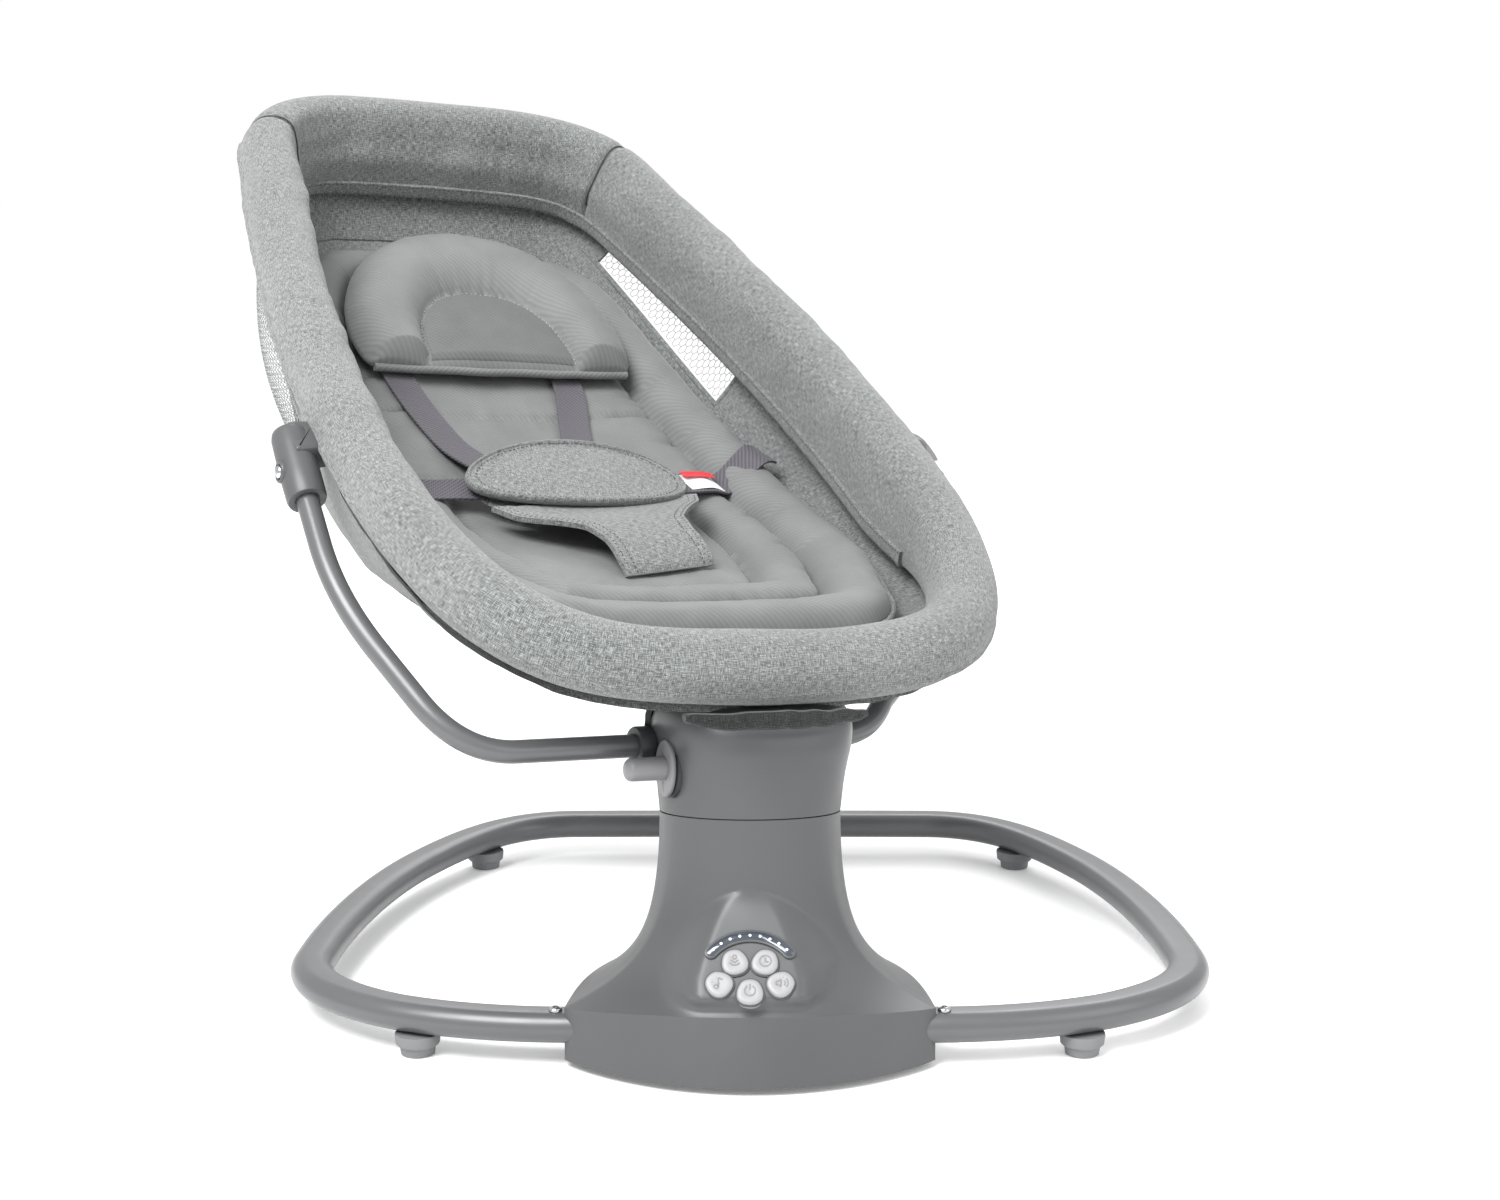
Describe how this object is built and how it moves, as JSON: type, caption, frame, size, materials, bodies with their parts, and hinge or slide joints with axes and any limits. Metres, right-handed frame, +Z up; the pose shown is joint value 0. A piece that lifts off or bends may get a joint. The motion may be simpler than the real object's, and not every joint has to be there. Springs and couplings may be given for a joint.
{
  "type": "baby swing",
  "caption": "Powered baby swing: padded oval seat with headboard, mesh sides, pillow and harness on a bent-tube yoke, turned by a head on a flared column with a floor loop.",
  "frame": {"origin": "middle of the whole object's extent, on the floor", "axes": "+Z up, +Y from the control panel towards the back of the base loop, +X to the right seen from the control panel"},
  "size_m": [0.719, 0.729, 0.6245],
  "materials": {
    "housing": "satin moulded plastic, mid grey",
    "dark_plastic": "satin moulded plastic, dark grey",
    "light_plastic": "satin moulded plastic, light grey",
    "tube_paint": "satin powder coat, grey",
    "chrome": "bright plated steel",
    "rubber": "moulded rubber, grey",
    "lens": "tinted gloss window",
    "board": "circuit board",
    "steel": "plain steel",
    "nylon": "natural nylon",
    "bronze": "sintered bronze",
    "heather": "heathered grey linen-look weave",
    "twill": "smooth grey twill",
    "mesh": "white net",
    "webbing": "dark grey webbing",
    "buckle": "moulded buckle, dark grey"
  },
  "bodies": {
    "base": {"base_housing": "housing", "base_bottom_cover": "housing", "loop_tube_left": "tube_paint", "loop_tube_right": "tube_paint", "loop_joint_sleeve": "steel", "foot_front_left": "rubber", "foot_front_right": "rubber", "foot_rear_left": "rubber", "foot_rear_right": "rubber", "loop_screw_left": "chrome", "loop_screw_right": "chrome", "led_window": "lens", "control_board": "board", "speaker": "dark_plastic", "gear_motor": "steel", "drive_chassis": "dark_plastic", "upper_bearing": "bronze", "lower_bearing": "bronze", "dc_inlet": "dark_plastic"},
    "button_power": {"button_power": "light_plastic"},
    "button_swing": {"button_swing": "light_plastic"},
    "button_timer": {"button_timer": "light_plastic"},
    "button_music": {"button_music": "light_plastic"},
    "button_volume": {"button_volume": "light_plastic"},
    "pinion": {"drive_pinion": "nylon"},
    "head": {"head_front_shell": "housing", "head_rear_shell": "dark_plastic", "swing_shaft": "steel", "sector_gear": "nylon", "lever_spring": "steel"},
    "lever": {"recline_lever": "light_plastic", "lock_shoe": "steel"},
    "seat": {"tilt_barrel": "dark_plastic", "recline_lock_plate": "steel", "seat_arm_left": "tube_paint", "seat_arm_right": "tube_paint", "hub_socket_left": "housing", "hub_socket_right": "housing", "rim_tube_head": "steel", "rim_tube_foot": "steel", "bumper_wrap": "heather", "bumper_head": "heather", "tub_floor": "heather", "tub_wall_left": "heather", "tub_wall_right": "heather", "tub_wall_head": "heather", "mesh_window_left": "mesh", "mesh_window_right": "mesh", "seat_pad": "twill", "head_pillow": "twill", "shoulder_strap_left": "webbing", "shoulder_strap_right": "webbing", "waist_strap_left": "webbing", "waist_strap_right": "webbing", "crotch_strap": "heather", "harness_buckle": "buckle", "buckle_cover": "heather"},
    "snap_left": {"snap_button_left": "chrome"},
    "snap_right": {"snap_button_right": "chrome"}
  },
  "joints": [
    {"name": "swing", "type": "hinge", "parent": "base", "child": "head", "pos_m": [0.04434, -0.24052, 0.15], "axis": [0, 0.1392, 0.9903], "range_deg": [-62, 2]},
    {"name": "recline", "type": "hinge", "parent": "head", "child": "seat", "pos_m": [0.03434, -0.21724, 0.19116], "axis": [0.866, 0.4951, -0.0696], "range_deg": [-16, 0]},
    {"name": "recline_release", "type": "slide", "parent": "head", "child": "lever", "axis": [0, -0.1392, -0.9903], "range_m": [0, 0.006], "stiffness_N_per_m": 900, "springref_m": -0.002, "deforming": ["lever_spring"]},
    {"name": "motor", "type": "hinge", "parent": "base", "child": "pinion", "pos_m": [0.04434, -0.2062, 0.1068], "axis": [0, 0.1392, 0.9903], "range_deg": [-8, 188]},
    {"name": "snap_left_press", "type": "slide", "parent": "seat", "child": "snap_left", "axis": [0.866, 0.4951, -0.0696], "range_m": [0, 0.003], "stiffness_N_per_m": 700, "springref_m": -0.001},
    {"name": "snap_right_press", "type": "slide", "parent": "seat", "child": "snap_right", "axis": [-0.866, -0.4951, 0.0696], "range_m": [0, 0.003], "stiffness_N_per_m": 700, "springref_m": -0.001},
    {"name": "power_press", "type": "slide", "parent": "base", "child": "button_power", "axis": [0, 0.7349, -0.6782], "range_m": [0, 0.0012], "stiffness_N_per_m": 500, "springref_m": -0.0008},
    {"name": "swing_press", "type": "slide", "parent": "base", "child": "button_swing", "axis": [0, 0.7349, -0.6782], "range_m": [0, 0.0012], "stiffness_N_per_m": 500, "springref_m": -0.0008},
    {"name": "timer_press", "type": "slide", "parent": "base", "child": "button_timer", "axis": [0, 0.7349, -0.6782], "range_m": [0, 0.0012], "stiffness_N_per_m": 500, "springref_m": -0.0008},
    {"name": "music_press", "type": "slide", "parent": "base", "child": "button_music", "axis": [0, 0.7349, -0.6782], "range_m": [0, 0.0012], "stiffness_N_per_m": 500, "springref_m": -0.0008},
    {"name": "volume_press", "type": "slide", "parent": "base", "child": "button_volume", "axis": [0, 0.7349, -0.6782], "range_m": [0, 0.0012], "stiffness_N_per_m": 500, "springref_m": -0.0008}
  ],
  "couplings": [
    {"joint": "motor", "follows": "swing", "ratio": -3}
  ]
}
